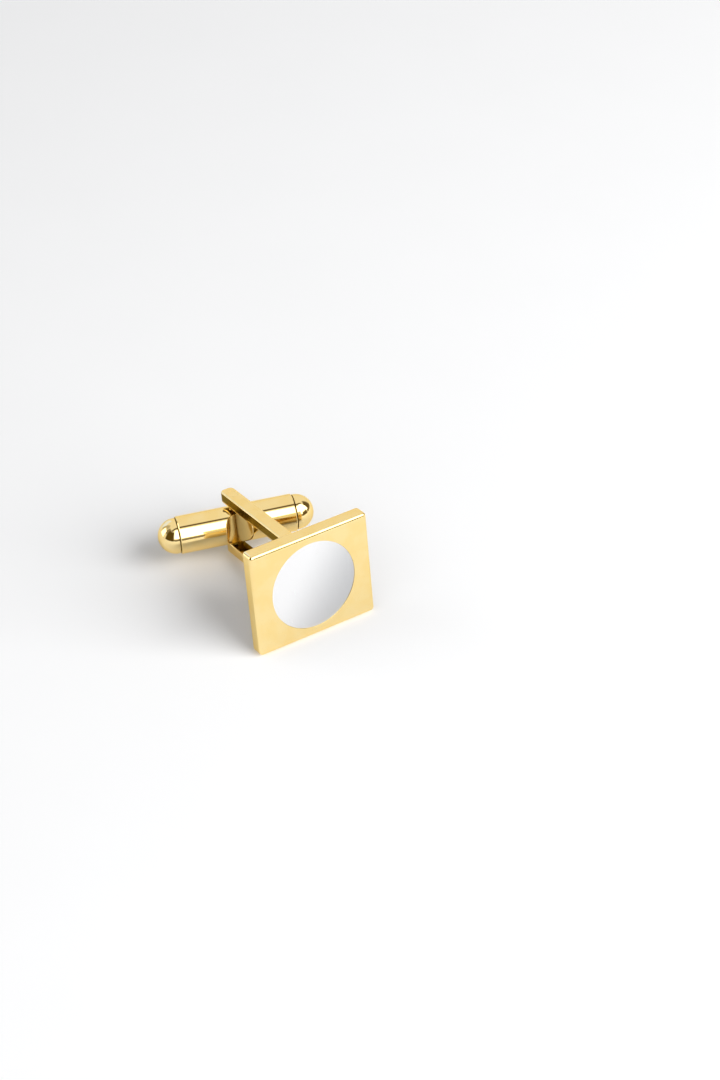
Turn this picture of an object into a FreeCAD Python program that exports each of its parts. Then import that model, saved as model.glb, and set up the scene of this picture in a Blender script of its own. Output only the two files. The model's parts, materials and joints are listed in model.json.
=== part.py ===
# Cufflink: a rectangular plate with a round inlay, a two-armed post and a swivelling bullet toggle.
# Pieces are drawn upright in millimetres: X across the plate, Y from its face towards the toggle, and Z up
# from its lower edge. The whole cufflink then leans back until it rests on the plate's lower back edge and
# on the tip of the lower arm, with the origin on the surface below the middle of its box.
import FreeCAD, Part
import math
import os
from FreeCAD import Placement, Rotation, Vector

# Plate
PLATE_WIDTH = 17.0
PLATE_HEIGHT = 14.5
PLATE_THICKNESS = 2.2
PLATE_EDGE_RADIUS = 0.5

# Inlay disc, crowned a little and set just below the plate's face
INLAY_DIAMETER = 12.0
INLAY_RIM_THICKNESS = 0.8
INLAY_CROWN = 0.05
INLAY_RECESS = 0.06
INLAY_CLEARANCE = 0.02

# Post: a casting with two flat arms on a web, which is let into a slot in the plate's back
ARM_WIDTH = 1.95
ARM_THICKNESS = 1.55
ARM_GAP = 5.9
PIVOT_DISTANCE = 17.2
TIP_OVERHANG = 1.85
TIP_CORNER_RADIUS = 0.7
WEB_THICKNESS = 1.5
WEB_CORNER_RADIUS = 0.8
WEB_SEAT_DEPTH = 0.3
WEB_SEAT_CLEARANCE = 0.02
POST_EDGE_RADIUS = 0.2

# Pivot pin: a rivet with flush conical ends and four flats at its middle
PIN_DIAMETER = 0.9
PIN_HEAD_DIAMETER = 1.5
PIN_HEAD_DEPTH = 0.3
PIN_ACROSS_FLATS = 0.64
PIN_FIT_CLEARANCE = 0.01
PIN_RUNNING_CLEARANCE = 0.03

# Toggle barrel: a turned bar, bored from end to end and scooped on the plate's side, whose two small bosses
# space it from the arms
TOGGLE_DIAMETER = 5.0
TOGGLE_LENGTH = 20.8
TOGGLE_REST_ANGLE = -18.0
BARREL_END_CHAMFER = 0.25
SCOOP_LENGTH = 3.4
SCOOP_DEPTH = 1.3
SCOOP_EDGE_RADIUS = 0.15
BOSS_DIAMETER = 1.4
BOSS_CLEARANCE = 0.05

# Domed caps with spigots that press into the barrel's ends
CAP_DIAMETER = 4.7
CAP_COLLAR_LENGTH = 0.15
CAP_SPIGOT_DIAMETER = 3.2
CAP_SPIGOT_LENGTH = 2.0
CAP_BORE_SPARE_DEPTH = 0.2
CAP_FIT_CLEARANCE = 0.01

# Detent spring: a bowed leaf in the barrel's bore, held in by the caps, that bears on the pin's flats
SPRING_WIDTH = 1.0
SPRING_THICKNESS = 0.2
SPRING_BOW = 0.12
SPRING_PIN_CLEARANCE = 0.03
SPRING_BORE_CLEARANCE = 0.02
SPRING_END_CLEARANCE = 0.1
SPRING_EDGE_CLEARANCE = 0.05

X = Vector(1, 0, 0)
Y = Vector(0, 1, 0)
Z = Vector(0, 0, 1)

# Lengths below this count as none when edges are picked
TOLERANCE = 1e-6

# Share of a radius, both ways, at the middle of a quarter circle
QUARTER_MIDDLE = math.sqrt(0.5)

# Heights and depths that several pieces share
POST_HEIGHT = PLATE_HEIGHT / 2
ARM_INNER = ARM_GAP / 2
ARM_OUTER = ARM_INNER + ARM_THICKNESS
ARM_SIDE = ARM_WIDTH / 2
ARM_REACH = PIVOT_DISTANCE + TIP_OVERHANG
WEB_FACE = PLATE_THICKNESS - WEB_SEAT_DEPTH
WEB_BACK = WEB_FACE + WEB_THICKNESS
PIVOT = Vector(0, PLATE_THICKNESS + PIVOT_DISTANCE, POST_HEIGHT)
PIN_RADIUS = PIN_DIAMETER / 2
BARREL_RADIUS = TOGGLE_DIAMETER / 2
CAP_RADIUS = CAP_DIAMETER / 2
BARREL_HALF_LENGTH = TOGGLE_LENGTH / 2 - CAP_RADIUS - CAP_COLLAR_LENGTH
SPRING_FACE = PIN_RADIUS + SPRING_PIN_CLEARANCE
SPRING_END_BACK = SPRING_FACE + SPRING_THICKNESS + SPRING_BOW
SPRING_BORE_RADIUS = math.hypot(SPRING_END_BACK, SPRING_WIDTH / 2) + SPRING_BORE_CLEARANCE
LEAN = math.degrees(math.atan2(POST_HEIGHT - ARM_OUTER, ARM_REACH))


def box_between(low, high):
    """A box from its lowest to its highest corner."""
    return Part.makeBox(high.x - low.x, high.y - low.y, high.z - low.z, low)


def extrude_outline(edges, direction):
    """A solid from a closed flat outline."""
    return Part.Face(Part.Wire(edges)).extrude(direction)


def revolve_outline(edges, centre, axis):
    """A solid turned from a half outline whose ends lie on the axis."""
    return Part.Face(Part.Wire(edges)).revolve(centre, axis, 360)


def lines(points, closed=False):
    """Straight edges through points."""
    ends = points[1:] + points[:1] if closed else points[1:]
    return [Part.LineSegment(start, end).toShape() for start, end in zip(points, ends)]


def soften(shape, radius, chosen):
    """Rounds the edges that a test picks."""
    return shape.makeFillet(radius, [edge for edge in shape.Edges if chosen(edge.BoundBox)])


def lies_at_depth(depth):
    return lambda box: abs(box.YMin - depth) < TOLERANCE and abs(box.YMax - depth) < TOLERANCE


def arc_radius(chord, rise):
    """Radius of a circle from a chord and the arc's rise above it."""
    return (chord ** 2 / 4 + rise ** 2) / (2 * rise)


def make_face_plate():
    """The plate with a round seat in its face and a shallow slot in its back."""
    half = PLATE_WIDTH / 2
    plate = box_between(Vector(-half, 0, 0), Vector(half, PLATE_THICKNESS, PLATE_HEIGHT))
    plate = plate.makeFillet(PLATE_EDGE_RADIUS, plate.Edges)
    seat_radius = INLAY_DIAMETER / 2 + INLAY_CLEARANCE
    seat_depth = INLAY_RECESS + INLAY_RIM_THICKNESS
    plate = plate.cut(Part.makeCylinder(seat_radius, seat_depth, Vector(0, 0, POST_HEIGHT), Y))
    slot_side = ARM_SIDE + WEB_SEAT_CLEARANCE
    slot_end = ARM_OUTER + WEB_SEAT_CLEARANCE
    slot_low = Vector(-slot_side, WEB_FACE, POST_HEIGHT - slot_end)
    return plate.cut(box_between(slot_low, Vector(slot_side, WEB_BACK, POST_HEIGHT + slot_end)))


def make_inlay_disc():
    """The disc, turned about the plate's middle, with a crowned front."""
    radius = INLAY_DIAMETER / 2
    crown_radius = arc_radius(INLAY_DIAMETER, INLAY_CROWN)
    halfway = radius / 2
    halfway_drop = crown_radius - math.sqrt(crown_radius ** 2 - halfway ** 2)
    front_mid = Vector(0, INLAY_RECESS - INLAY_CROWN, POST_HEIGHT)
    front_rim = Vector(radius, INLAY_RECESS, POST_HEIGHT)
    back_rim = Vector(radius, INLAY_RECESS + INLAY_RIM_THICKNESS, POST_HEIGHT)
    back_mid = Vector(0, back_rim.y, POST_HEIGHT)
    front_halfway = front_mid + Vector(halfway, halfway_drop, 0)
    crown = Part.Arc(front_mid, front_halfway, front_rim).toShape()
    return revolve_outline([crown] + lines([front_rim, back_rim, back_mid, front_mid]), back_mid, Y)


def make_bracket_blank():
    """The casting before drilling: its side outline swept across its width."""
    tip = PLATE_THICKNESS + ARM_REACH
    arms_start = WEB_BACK + WEB_CORNER_RADIUS

    def at(depth, height):
        return Vector(-ARM_SIDE, depth, POST_HEIGHT + height)

    outline = lines([
        at(WEB_FACE, -ARM_OUTER),
        at(WEB_FACE, ARM_OUTER),
        at(tip, ARM_OUTER),
        at(tip, ARM_INNER),
        at(WEB_BACK, ARM_INNER),
        at(WEB_BACK, -ARM_INNER),
        at(tip, -ARM_INNER),
        at(tip, -ARM_OUTER),
    ], closed=True)
    blank = extrude_outline(outline, X * ARM_WIDTH)

    def upright_at_tip(box):
        return box.XLength < TOLERANCE and lies_at_depth(tip)(box)

    def inside_corner(box):
        return lies_at_depth(WEB_BACK)(box) and box.ZLength < TOLERANCE

    blank = soften(blank, TIP_CORNER_RADIUS, upright_at_tip)
    blank = soften(blank, WEB_CORNER_RADIUS, inside_corner)
    return soften(blank, POST_EDGE_RADIUS, lambda box: box.ZLength < TOLERANCE and box.YMax > arms_start)


def make_pin_shape(clearance):
    """The rivet's outside about the pivot axis, grown by a clearance."""
    shank = PIN_RADIUS + clearance
    head = PIN_HEAD_DIAMETER / 2 + clearance
    neck = ARM_OUTER - PIN_HEAD_DEPTH
    outline = lines([
        Vector(0, 0, -ARM_OUTER),
        Vector(head, 0, -ARM_OUTER),
        Vector(shank, 0, -neck),
        Vector(shank, 0, neck),
        Vector(head, 0, ARM_OUTER),
        Vector(0, 0, ARM_OUTER),
    ], closed=True)
    return revolve_outline(outline, Vector(), Z)


def make_post_bracket():
    """The casting with its countersunk pin holes."""
    hole = make_pin_shape(PIN_FIT_CLEARANCE)
    hole.translate(PIVOT)
    return make_bracket_blank().cut(hole)


def make_pivot_pin():
    """The rivet with four flats where the spring grips it, square to the post."""
    high = SPRING_WIDTH / 2 + SPRING_EDGE_CLEARANCE
    half_flat = PIN_ACROSS_FLATS / 2
    reach = PIN_DIAMETER
    collar = box_between(Vector(-reach, -reach, -high), Vector(reach, reach, high))
    core = box_between(Vector(-half_flat, -half_flat, -high), Vector(half_flat, half_flat, high))
    pin = make_pin_shape(0).cut(collar.cut(core))
    pin.translate(PIVOT)
    return pin


def make_toggle_barrel():
    """The scooped bar with its bosses, cross bore, spring bore and the caps' bores."""
    half = BARREL_HALF_LENGTH
    bar = Part.makeCylinder(BARREL_RADIUS, 2 * half, X * -half, X)
    rims = [edge for edge in bar.Edges if edge.BoundBox.XLength < TOLERANCE]
    bar = bar.makeChamfer(BARREL_END_CHAMFER, rims)
    scoop_radius = arc_radius(SCOOP_LENGTH, SCOOP_DEPTH)
    scoop_centre = Vector(0, SCOOP_DEPTH - BARREL_RADIUS - scoop_radius, -TOGGLE_DIAMETER)
    bar = bar.cut(Part.makeCylinder(scoop_radius, 2 * TOGGLE_DIAMETER, scoop_centre, Z))
    scoop_reach = SCOOP_LENGTH / 2 + TOLERANCE
    bar = soften(bar, SCOOP_EDGE_RADIUS, lambda box: -scoop_reach < box.XMin and box.XMax < scoop_reach)
    boss_top = ARM_INNER - BOSS_CLEARANCE
    bar = bar.fuse(Part.makeCylinder(BOSS_DIAMETER / 2, 2 * boss_top, Z * -boss_top, Z))
    pin_bore = PIN_RADIUS + PIN_RUNNING_CLEARANCE
    bar = bar.cut(Part.makeCylinder(pin_bore, 2 * ARM_OUTER, Z * -ARM_OUTER, Z))
    bar = bar.cut(Part.makeCylinder(SPRING_BORE_RADIUS, 2 * half, X * -half, X))
    cap_bore = CAP_SPIGOT_DIAMETER / 2 + CAP_FIT_CLEARANCE
    cap_depth = CAP_SPIGOT_LENGTH + CAP_BORE_SPARE_DEPTH
    for direction in (X, -X):
        bar = bar.cut(Part.makeCylinder(cap_bore, cap_depth, direction * half, -direction))
    return bar


def make_toggle_cap(direction):
    """A domed cap with its spigot, turned on the toggle's axis at one end of the barrel."""
    shoulder = BARREL_HALF_LENGTH
    collar = shoulder + CAP_COLLAR_LENGTH
    spigot_end = shoulder - CAP_SPIGOT_LENGTH
    spigot = CAP_SPIGOT_DIAMETER / 2
    in_turn = CAP_RADIUS * QUARTER_MIDDLE

    def at(along, radius):
        return direction * along + Z * radius

    dome_mid = at(collar + in_turn, in_turn)
    dome = Part.Arc(at(collar, CAP_RADIUS), dome_mid, at(collar + CAP_RADIUS, 0)).toShape()
    outline = lines([
        at(collar + CAP_RADIUS, 0),
        at(spigot_end, 0),
        at(spigot_end, spigot),
        at(shoulder, spigot),
        at(shoulder, CAP_RADIUS),
        at(collar, CAP_RADIUS),
    ])
    return revolve_outline(outline + [dome], Vector(), direction)


def make_detent_spring():
    """The leaf: its middle bears on the pin, and its bowed ends on the back of the bore."""
    half = BARREL_HALF_LENGTH - CAP_SPIGOT_LENGTH - SPRING_END_CLEARANCE
    low = -SPRING_WIDTH / 2

    def bowed(depth):
        """One long edge of the leaf, from left to right."""
        ends = [Vector(along, depth + SPRING_BOW, low) for along in (-half, half)]
        return Part.Arc(ends[0], Vector(0, depth, low), ends[1]).toShape(), ends

    face, face_ends = bowed(SPRING_FACE)
    back, back_ends = bowed(SPRING_FACE + SPRING_THICKNESS)
    left, right = [Part.LineSegment(front, rear).toShape() for front, rear in zip(face_ends, back_ends)]
    return extrude_outline([face, right, back, left], Z * SPRING_WIDTH)


def at_pivot(shape):
    """Turns a piece of the toggle to its resting angle and carries it to the pivot."""
    shape.Placement = Placement(PIVOT, Rotation(Z, TOGGLE_REST_ANGLE)).multiply(shape.Placement)
    return shape


def make_pieces():
    """Every piece by name, upright."""
    return {
        "face_plate": make_face_plate(),
        "inlay_disc": make_inlay_disc(),
        "post_bracket": make_post_bracket(),
        "pivot_pin": make_pivot_pin(),
        "toggle_barrel": at_pivot(make_toggle_barrel()),
        "toggle_cap_left": at_pivot(make_toggle_cap(-X)),
        "toggle_cap_right": at_pivot(make_toggle_cap(X)),
        "detent_spring": at_pivot(make_detent_spring()),
    }


def resting_placement(pieces):
    """The lean, and the shift that puts the origin under the middle of the leaning cufflink."""
    lean = Placement(Vector(), Rotation(X, -LEAN))
    leaning = Part.makeCompound([shape.copy() for shape in pieces.values()])
    leaning.Placement = lean.multiply(leaning.Placement)
    box = leaning.optimalBoundingBox(False, False)
    shift = Vector(-box.Center.x, -box.Center.y, -box.ZMin)
    return Placement(shift, lean.Rotation)


pieces = make_pieces()
resting = resting_placement(pieces)
os.makedirs("parts", exist_ok=True)
for name, shape in pieces.items():
    shape.Placement = resting.multiply(shape.Placement)
    shape.exportStep(f"parts/{name}.step")
    print(f"{name}: {len(shape.Solids)} solid, valid {shape.isValid()}, {shape.Volume:.2f} cubic mm")
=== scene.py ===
import bpy
import json
import math
from mathutils import Matrix, Vector


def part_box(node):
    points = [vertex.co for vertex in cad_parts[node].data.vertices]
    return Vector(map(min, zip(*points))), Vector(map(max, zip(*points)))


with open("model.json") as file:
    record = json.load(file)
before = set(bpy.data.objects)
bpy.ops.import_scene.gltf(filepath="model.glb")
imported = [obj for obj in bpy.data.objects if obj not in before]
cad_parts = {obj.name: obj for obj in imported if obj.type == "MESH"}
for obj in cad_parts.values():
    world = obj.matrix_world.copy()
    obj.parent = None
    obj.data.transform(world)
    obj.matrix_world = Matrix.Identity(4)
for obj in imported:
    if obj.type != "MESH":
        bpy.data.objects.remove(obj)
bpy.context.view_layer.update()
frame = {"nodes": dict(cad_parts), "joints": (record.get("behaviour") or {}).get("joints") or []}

MM = 0.001
WHITE = (1.0, 1.0, 1.0)

# Viewpoint: angle round from the plate's front, height above the horizon, and what the lens is aimed at
VIEW_AZIMUTH = -33.0
VIEW_ELEVATION = 38.06
VIEW_DISTANCE = 328.7 * MM
VIEW_AIM = Vector((14.96, 0.97, 0.0)) * MM
LENS_MM = 82.63
SENSOR_MM = 36.0
NEAREST_SEEN = 0.01

# The hinge, the toggle as it lies at rest, and the way the plate faces
HINGE = frame["joints"][0]
PIVOT = Vector(HINGE["pos_m"])
PIN_AXIS = Vector(HINGE["axis"])
RIGHT = Vector((1, 0, 0))
TOGGLE_REST_ANGLE = -18.0
TOGGLE_AXIS = Matrix.Rotation(math.radians(TOGGLE_REST_ANGLE), 3, PIN_AXIS) @ RIGHT
FACE_WAY = RIGHT.cross(PIN_AXIS)

# Where painted shade goes on the barrel: off its turned outside, on the rise of its bosses and in the
# joints at its ends
BARREL_RADIUS = 2.5 * MM
TURNED_BAND = (BARREL_RADIUS - 0.08 * MM, BARREL_RADIUS + 0.06 * MM)
TURNED_SOFT = 0.08 * MM
BOSS_RISE = (BARREL_RADIUS, BARREL_RADIUS + 0.1 * MM)
BARREL_END = (3 * MM, 4 * MM)

# The caps' domes: how far their centres are from the pivot, and where their curve begins
DOME_CENTRE = 8.05 * MM
DOME_START = (DOME_CENTRE, DOME_CENTRE + 0.05 * MM)

# Where painted shade goes on the arms: how far a face leans along the pin, and how far it is from the
# pivot's level
ARM_INNER = 2.95 * MM
SIDE_LEAN = (0.25, 0.6)
SIDE_START = (ARM_INNER + 0.27 * MM, ARM_INNER + 0.35 * MM)
INSIDE_LEAN = (0.6, 0.9)
INSIDE_END = (ARM_INNER + 0.1 * MM, ARM_INNER + 0.2 * MM)

# Gold plate: its two tones, its tone at a slant, a dark painted shade with a duller roughness where it
# lies, and a lighter painted shade in the barrel's scoop
GOLD = (0.99, 0.745, 0.316)
GOLD_PALE = (1.0, 0.78, 0.37)
GOLD_EDGE = (1.0, 0.86, 0.54)
GOLD_PAINTED_SHADE = (0.185, 0.112, 0.016)
DULL_ROUGHNESS = 0.15
SCOOP_PAINTED_SHADE = (0.82, 0.58, 0.21)

# Polish of each gold piece: its least roughness, and how strongly its surface ripples
PLATE_POLISH = {"roughness": 0.08, "ripple": 0.6}
POST_POLISH = {"roughness": 0.07, "ripple": 0.6}
TOGGLE_POLISH = {"roughness": 0.03, "ripple": 0.3}

# Marks on the gold: clouds, fine ripple and hairlines from the buff, and what they do to tone and roughness
GOLD_CLOUD = {"Scale": 420.0, "Detail": 3.0}
GOLD_FINE = {"Scale": 2600.0, "Detail": 2.0}
BUFF_STRETCH = (9000.0, 900.0, 9000.0)
BUFF_DETAIL = 4.0
CLOUD_TONE = (0.35, 0.65)
CLOUD_MARK = (0.4, 0.7)
CLOUD_ROUGHNESS = 0.03
BUFF_MARK = (0.55, 0.75)
BUFF_ROUGHNESS = 0.05
FINE_SHARE = 0.12
GOLD_RELIEF = {"Strength": 0.12, "Distance": 0.01 * MM}

# White metal of the inlay, with painted shade that grows from its upper left to its lower right
WHITE_METAL = (0.95, 0.95, 0.955)
PAINTED_SHADE_METAL = (0.60, 0.605, 0.615)
PAINTED_SHADE_WAY = Vector((0.8, 0.0, -0.6))
PAINTED_SHADE_SPAN = (-3.6 * MM, 6.0 * MM)
DRIFT_STREAK = 0.08
SATIN_STRETCH = (7000.0, 500.0, 500.0)
SATIN_DETAIL = 4.0
SATIN_CLOUD = {"Scale": 300.0, "Detail": 2.0}
SATIN_ROUGHNESS = 0.24
SATIN_STREAK_ROUGHNESS = 0.06
SATIN_CLOUD_ROUGHNESS = 0.04
SATIN_RELIEF = {"Strength": 0.08, "Distance": 0.01 * MM}
CROWN_RADIUS = 360 * MM

# The spring's rolled strip
STRIP_GOLD = (0.93, 0.68, 0.27)
STRIP_STRETCH = (700.0, 700.0, 9000.0)
STRIP_DETAIL = 3.0
STRIP_TONE = (0.3, 0.7)
STRIP_ROUGHNESS = 0.12
STRIP_STREAK_ROUGHNESS = 0.12

# Floor
FLOOR_HALF = 4.0
FLOOR_COLOUR = (0.95, 0.95, 0.95)
FLOOR_PALE = (0.97, 0.97, 0.97)
FLOOR_GRAIN = {"Scale": 60.0, "Detail": 3.0}
FLOOR_ROUGHNESS = 0.9

# Light on the floor: a soft box at the front right, a broad soft fill from the left, the room, and what
# the gold throws back of the room
KEY_DISTANCE = 0.8
KEY_PANEL = {"round": 30, "up": 30, "wide": 50, "high": 50, "light": 5.6}
FILL_AREA = {"round": (-150, -20), "up": (-5, 50), "soft": 20}
FILL_LIGHT = (1.325, 1.33, 1.345)
ROOM_LIGHT = (0.182, 0.183, 0.187)
BOUNCE_LIGHT = (0.05, 0.055, 0.08)

# What polished metal mirrors: places in the studio, by degrees round from the front and above the horizon,
# each painted over those before it
ROOM_WHITE = (0.90, 0.88, 0.84)
ROOM_DARK = (0.095, 0.064, 0.011)
FRONT_WHITE = (3.3, 3.3, 3.3)
SIDE_WHITE = (2.5, 2.5, 2.5)
BACK_COOL = (0.85, 1.05, 1.8)
STUDIO = {
    "doorway": {"round": (-97, -42), "up": (-6, 57), "soft": 10, "share": 1.0, "colour": ROOM_DARK},
    "doorway_head": {"round": (-122, -85), "up": (26, 62), "soft": 10, "share": 0.8, "colour": ROOM_DARK},
    "left_corner": {"round": (-162, -128), "up": (8, 58), "soft": 10, "share": 0.5, "colour": ROOM_DARK},
    "side_gap": {"round": (55, 100), "up": (2, 48), "soft": 12, "share": 0.95, "colour": ROOM_DARK},
    "skirting": {"round": (-45, 27), "up": (-16, 12), "soft": 8, "share": 0.8, "colour": ROOM_DARK},
    "front_panel": {"round": (-37, 65), "up": (16, 70), "soft": 4, "share": 1.0, "colour": FRONT_WHITE},
    "low_gap": {"round": (17, 50), "up": (-6, 24), "soft": 6, "share": 0.95, "colour": ROOM_DARK},
    "left_panel": {"round": (-145, -115), "up": (-20, 35), "soft": 5, "share": 1.0, "colour": SIDE_WHITE},
    "back_left": {"round": (-200, -160), "up": (-4, 32), "soft": 8, "share": 1.0, "colour": BACK_COOL},
    "back_right": {"round": (166, 200), "up": (-4, 32), "soft": 8, "share": 1.0, "colour": BACK_COOL},
}

# A dark gap between the panels overhead, by parts of a way of length one
OVERHEAD_GAP = {"along": (-0.22, -0.06), "soft": 0.05, "height": (0.8, 0.9), "share": 0.95}


class Wire:
    """A socket that takes part in sums: an expression on wires adds its Math nodes."""

    def __init__(self, tree, socket=None):
        self.tree = tree
        self.socket = socket

    def node(self, kind, settings=None, inputs=None, output=0):
        """Adds a node: its settings first, then the values or links of its sockets."""
        made = self.tree.nodes.new("ShaderNode" + kind)
        for name, value in (settings or {}).items():
            setattr(made, name, value)
        for name, value in (inputs or {}).items():
            if isinstance(value, Wire):
                self.tree.links.new(value.socket, made.inputs[name])
            else:
                made.inputs[name].default_value = value
        return Wire(self.tree, made.outputs[output] if made.outputs else None)

    def outlet(self, name):
        """Another output of the node that this wire comes from."""
        return Wire(self.tree, self.socket.node.outputs[name])

    def sum(self, operation, first, second=0.0):
        return self.node("Math", {"operation": operation}, {0: first, 1: second})

    def __add__(self, other):
        return self.sum("ADD", self, other)

    def __radd__(self, other):
        return self.sum("ADD", other, self)

    def __sub__(self, other):
        return self.sum("SUBTRACT", self, other)

    def __rsub__(self, other):
        return self.sum("SUBTRACT", other, self)

    def __mul__(self, other):
        return self.sum("MULTIPLY", self, other)

    def __rmul__(self, other):
        return self.sum("MULTIPLY", other, self)

    def size(self):
        """A value without its sign."""
        return self.sum("ABSOLUTE", self)

    def vector(self, operation, other, output=0):
        """One step of vector arithmetic, with this wire as its first vector."""
        return self.node("VectorMath", {"operation": operation}, {0: self, 1: other}, output)

    def dot(self, other):
        return self.vector("DOT_PRODUCT", other, output="Value")

    def window(self, low, high, soft):
        """One between two values and nought outside them, with soft edges."""
        rise = self.ease(low - soft / 2, low + soft / 2)
        fall = self.ease(high - soft / 2, high + soft / 2)
        return rise * (1 - fall)

    def ease(self, low, high):
        """From nought at one value to one at another, smoothly."""
        return self.node("MapRange", {"interpolation_type": "SMOOTHSTEP"}, {0: self, 1: low, 2: high})

    def blend(self, first, second):
        """A colour between two, by this value. A Mix node takes colours at its sockets 6 and 7."""
        inputs = {0: self, 6: opaque(first), 7: opaque(second)}
        return self.node("Mix", {"data_type": "RGBA"}, inputs, output=2)

    def between(self, first, second):
        """A vector between two, by this value. A Mix node takes vectors at its sockets 4 and 5."""
        return self.node("Mix", {"data_type": "VECTOR"}, {0: self, 4: first, 5: second}, output=1)

    def noise(self, grain):
        """Noise at this place, by its scale to the metre and its detail."""
        return self.node("TexNoise", None, {"Vector": self, **grain})

    def streaks(self, stretch, detail):
        """Noise drawn out into lines, by its scale along each axis."""
        drawn = self.node("Mapping", None, {"Vector": self, "Scale": stretch})
        return drawn.noise({"Scale": 1.0, "Detail": detail})


def opaque(colour):
    """A colour as a socket takes it."""
    return colour if isinstance(colour, Wire) else (*colour, 1.0)


def new_material(name):
    """An empty material, the wire that its nodes start from, and the place on its piece."""
    material = bpy.data.materials.new(name)
    material.use_nodes = True
    material.node_tree.nodes.clear()
    start = Wire(material.node_tree)
    return material, start, start.node("TexCoord", output="Object")


def surface(material, start, **sockets):
    """Ends a material in one shader."""
    inputs = {name.replace("_", " "): value for name, value in sockets.items()}
    shader = start.node("BsdfPrincipled", None, inputs)
    start.node("OutputMaterial", None, {"Surface": shader})
    return material


def direction_to(round_from_front, up):
    """The way from the cufflink to a place in the studio."""
    turn = math.radians(round_from_front)
    rise = math.radians(up)
    flat = math.cos(rise)
    return Vector((math.sin(turn) * flat, -math.cos(turn) * flat, math.sin(rise)))


def to_world(facing):
    """A way that a piece's own frame gives, as the scene's frame gives it."""
    turned = {"vector_type": "NORMAL", "convert_from": "OBJECT", "convert_to": "WORLD"}
    return facing.node("VectorTransform", turned, {0: facing})


def from_pivot(place):
    return place.vector("SUBTRACT", PIVOT)


def off_axis(place):
    """How far a place is from the toggle's axis."""
    across = from_pivot(place).vector("CROSS_PRODUCT", TOGGLE_AXIS)
    return across.node("VectorMath", {"operation": "LENGTH"}, {0: across}, output="Value")


def shaded_sides_and_insides(place):
    """Where shade is painted: one on the upper arm's sides, bar their inner edges, and on both arms' faces
    toward the toggle.
    """
    lean = place.node("TexCoord", output="Normal").dot(PIN_AXIS).size()
    level = from_pivot(place).dot(PIN_AXIS)
    sides = (1 - lean.ease(*SIDE_LEAN)) * level.ease(*SIDE_START)
    insides = lean.ease(*INSIDE_LEAN) * (1 - level.size().ease(*INSIDE_END))
    return sides + insides


def off_turned_surface(place):
    """Where shade is painted: one in the barrel's scoop, bores and end chamfers and on its bosses, nought
    on its turned outside.
    """
    return 1 - off_axis(place).window(*TURNED_BAND, TURNED_SOFT)


def scoop_shade_skin(place):
    """Painted shade in the satin scoop, darker still on the bosses and in the joints at the barrel's ends.
    """
    ends = from_pivot(place).dot(TOGGLE_AXIS).size().ease(*BARREL_END)
    bosses = off_axis(place).ease(*BOSS_RISE)
    return (ends + bosses).blend(SCOOP_PAINTED_SHADE, GOLD_PAINTED_SHADE)


def painted_shade_skin(place):
    """The same dark painted shade all over."""
    return GOLD_PAINTED_SHADE


def dome_facing(place):
    """The way the caps' true domes face, free of the facets at their tips."""
    reach = from_pivot(place)
    along = reach.dot(TOGGLE_AXIS)
    side = along.sum("SIGN", along)
    shift = {0: TOGGLE_AXIS, "Scale": DOME_CENTRE * side}
    centre = side.node("VectorMath", {"operation": "SCALE"}, shift)
    outward = reach.vector("SUBTRACT", centre)
    dome = outward.node("VectorMath", {"operation": "NORMALIZE"}, {0: outward})
    own = place.node("TexCoord", output="Normal")
    return to_world((side * along).ease(*DOME_START).between(own, dome))


def polished_gold(name, roughness, ripple, shade_mask=None, skin=painted_shade_skin, facing=None):
    """Gold plate over polished metal: cloudy tone, hairlines from the buff and a faint ripple, and painted
    shade where a mask is given.
    """
    material, start, place = new_material(name)
    cloud = place.noise(GOLD_CLOUD)
    hairline = place.streaks(BUFF_STRETCH, BUFF_DETAIL)
    fine = place.noise(GOLD_FINE)
    tone = cloud.ease(*CLOUD_TONE).blend(GOLD, GOLD_PALE)
    rough = roughness + BUFF_ROUGHNESS * hairline.ease(*BUFF_MARK)
    rough = rough + CLOUD_ROUGHNESS * cloud.ease(*CLOUD_MARK)
    # Painted shade: a darker colour where the mask gives one, and more roughness there
    if shade_mask:
        shaded = shade_mask(place)
        tone = shaded.blend(tone, skin(place))
        rough = rough + DULL_ROUGHNESS * shaded
    relief = {"Height": ripple * cloud + FINE_SHARE * ripple * fine, **GOLD_RELIEF}
    if facing:
        relief["Normal"] = facing(place)
    bump = place.node("Bump", None, relief)
    finish = {"Metallic": 1.0, "Specular_Tint": opaque(GOLD_EDGE)}
    return surface(material, start, Base_Color=tone, Roughness=rough, Normal=bump, **finish)


def satin_white_metal():
    """The inlay: white metal with upright hairlines, softer than the gold, faintly crowned, and with
    painted shade toward its lower right.
    """
    material, start, place = new_material("satin_white_metal")
    hairline = place.streaks(SATIN_STRETCH, SATIN_DETAIL)
    cloud = place.noise(SATIN_CLOUD)
    low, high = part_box("inlay_disc")
    from_middle = place.vector("SUBTRACT", (Vector(low) + Vector(high)) / 2)
    # Painted shade: the tone darkens from the upper left to the lower right, with hairline streaks in it
    shade = from_middle.dot(PAINTED_SHADE_WAY).ease(*PAINTED_SHADE_SPAN) + DRIFT_STREAK * hairline - DRIFT_STREAK / 2
    tone = shade.blend(WHITE_METAL, PAINTED_SHADE_METAL)
    rough = SATIN_ROUGHNESS + SATIN_STREAK_ROUGHNESS * hairline + SATIN_CLOUD_ROUGHNESS * cloud
    share = {0: from_middle, "Scale": 1 / CROWN_RADIUS}
    bulge = place.node("VectorMath", {"operation": "SCALE"}, share)
    crown = to_world(bulge.vector("ADD", FACE_WAY))
    bump = place.node("Bump", None, {"Height": hairline, "Normal": crown, **SATIN_RELIEF})
    return surface(material, start, Base_Color=tone, Metallic=1.0, Roughness=rough, Normal=bump)


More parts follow.
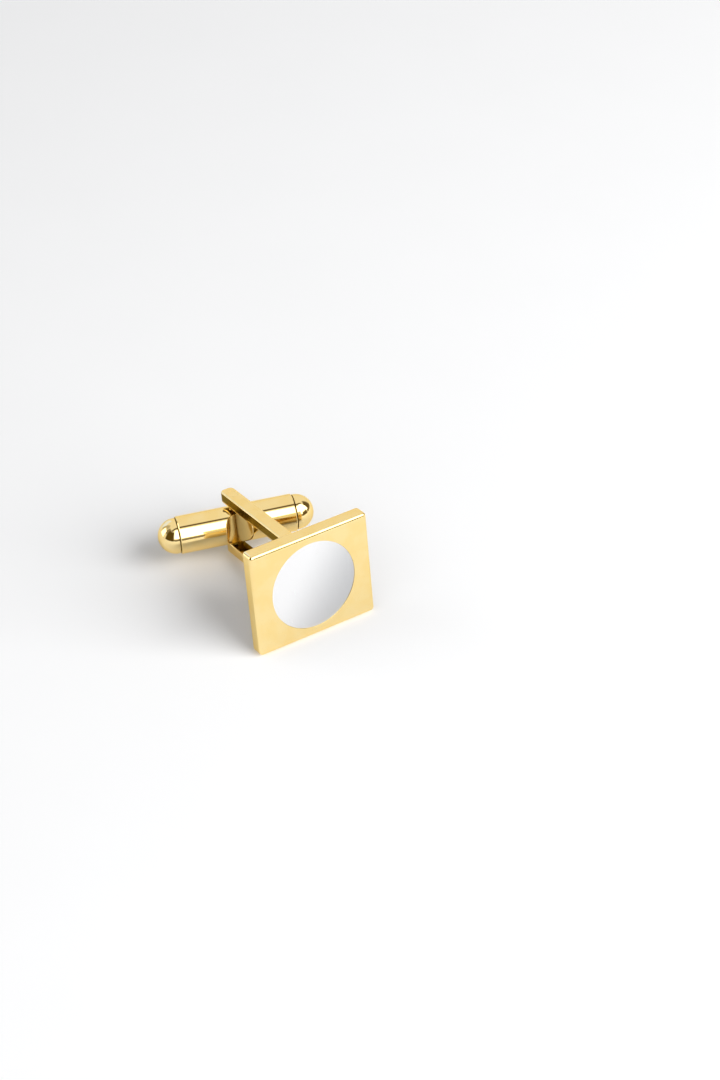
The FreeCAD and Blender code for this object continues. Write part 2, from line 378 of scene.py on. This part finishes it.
def spring_gold():
    """The spring's strip: rolled metal under a thin flash of gold."""
    material, start, place = new_material("spring_gold")
    rolled = place.streaks(STRIP_STRETCH, STRIP_DETAIL)
    tone = rolled.ease(*STRIP_TONE).blend(STRIP_GOLD, GOLD_PALE)
    rough = STRIP_ROUGHNESS + STRIP_STREAK_ROUGHNESS * rolled
    return surface(material, start, Base_Color=tone, Metallic=1.0, Roughness=rough)


def dress(nodes, material):
    """Gives pieces their one material."""
    for node in nodes:
        part = frame["nodes"][node]
        part.data.materials.clear()
        part.data.materials.append(material)


def add_floor():
    """A wide pale floor under the cufflink."""
    mesh = bpy.data.meshes.new("floor")
    corners = [(-FLOOR_HALF, -FLOOR_HALF, 0), (FLOOR_HALF, -FLOOR_HALF, 0)]
    corners += [(FLOOR_HALF, FLOOR_HALF, 0), (-FLOOR_HALF, FLOOR_HALF, 0)]
    mesh.from_pydata(corners, [], [(0, 1, 2, 3)])
    floor = bpy.data.objects.new("floor", mesh)
    bpy.context.scene.collection.objects.link(floor)
    material, start, place = new_material("pale_floor")
    tone = place.noise(FLOOR_GRAIN).blend(FLOOR_COLOUR, FLOOR_PALE)
    matt = {"Roughness": FLOOR_ROUGHNESS, "Specular_IOR_Level": 0.0}
    mesh.materials.append(surface(material, start, Base_Color=tone, **matt))


def turn_to(thing, way):
    """Points a lamp or a camera along a way."""
    thing.rotation_mode = "QUATERNION"
    thing.rotation_quaternion = way.to_track_quat("-Z", "Y")


def add_key():
    """The soft box whose shadows fall behind the plate and to its left."""
    light = bpy.data.lights.new("key_panel", "AREA")
    light.shape = "RECTANGLE"
    light.size = 2 * KEY_DISTANCE * math.tan(math.radians(KEY_PANEL["wide"] / 2))
    light.size_y = 2 * KEY_DISTANCE * math.tan(math.radians(KEY_PANEL["high"] / 2))
    light.energy = KEY_PANEL["light"] * math.pi * light.size * light.size_y
    lamp = bpy.data.objects.new("key_panel", light)
    way = direction_to(KEY_PANEL["round"], KEY_PANEL["up"])
    lamp.location = way * KEY_DISTANCE
    turn_to(lamp, -way)
    lamp.visible_camera = False
    lamp.visible_glossy = False
    bpy.context.scene.collection.objects.link(lamp)


def add_room():
    """The studio as polished metal mirrors it, and as it lights the floor."""
    world = bpy.data.worlds.new("studio")
    bpy.context.scene.world = world
    world.use_nodes = True
    world.node_tree.nodes.clear()
    start = Wire(world.node_tree)
    way = start.node("TexCoord", output="Generated")
    across = way.node("SeparateXYZ", None, {0: way}, output="X")
    along = across.outlet("Y")
    height = across.outlet("Z")
    turn = start.sum("ARCTAN2", across, -1.0 * along) * math.degrees(1)
    rise = start.sum("ARCSINE", height) * math.degrees(1)

    def patch(area):
        return turn.window(*area["round"], area["soft"]) * rise.window(*area["up"], area["soft"])

    shown = ROOM_WHITE
    for area in STUDIO.values():
        shown = (area["share"] * patch(area)).blend(shown, area["colour"])
    gap = along.window(*OVERHEAD_GAP["along"], OVERHEAD_GAP["soft"]) * height.ease(*OVERHEAD_GAP["height"])
    shown = (OVERHEAD_GAP["share"] * gap).blend(shown, ROOM_DARK)
    soft = patch(FILL_AREA).blend(ROOM_LIGHT, FILL_LIGHT)
    seen = start.node("LightPath", output="Is Camera Ray")
    mirrored = start.sum("MAXIMUM", seen.outlet("Is Glossy Ray"), seen.outlet("Is Transmission Ray"))
    straight = start.sum("LESS_THAN", seen.outlet("Diffuse Depth"), 0.5)
    colour = mirrored.blend(soft, straight.blend(BOUNCE_LIGHT, shown))
    light = start.node("Background", None, {"Color": seen.blend(colour, WHITE), "Strength": 1.0})
    start.node("OutputWorld", None, {"Surface": light})


def add_camera():
    """The photo's viewpoint."""
    camera = bpy.data.objects.new("camera", bpy.data.cameras.new("camera"))
    bpy.context.scene.collection.objects.link(camera)
    camera.data.lens = LENS_MM
    camera.data.sensor_width = SENSOR_MM
    camera.data.clip_start = NEAREST_SEEN
    back = direction_to(VIEW_AZIMUTH, VIEW_ELEVATION)
    camera.location = VIEW_AIM + back * VIEW_DISTANCE
    turn_to(camera, -back)
    bpy.context.scene.camera = camera


dress(["face_plate"], polished_gold("plate_gold", **PLATE_POLISH))
dress(["inlay_disc"], satin_white_metal())
# The post gets painted shade on the upper arm's sides and on the arms' faces toward the toggle
dress(["post_bracket"], polished_gold("post_gold", **POST_POLISH, shade_mask=shaded_sides_and_insides))
dress(["pivot_pin"], polished_gold("pin_gold", **POST_POLISH))
# The barrel gets painted shade in its scoop, on its bosses and in its end joints
scooped = {"shade_mask": off_turned_surface, "skin": scoop_shade_skin}
dress(["toggle_barrel"], polished_gold("toggle_gold", **TOGGLE_POLISH, **scooped))
domed = polished_gold("cap_gold", **TOGGLE_POLISH, facing=dome_facing)
dress(["toggle_cap_left", "toggle_cap_right"], domed)
dress(["detent_spring"], spring_gold())
add_floor()
add_key()
add_room()
add_camera()
bpy.context.scene.view_settings.view_transform = "Standard"
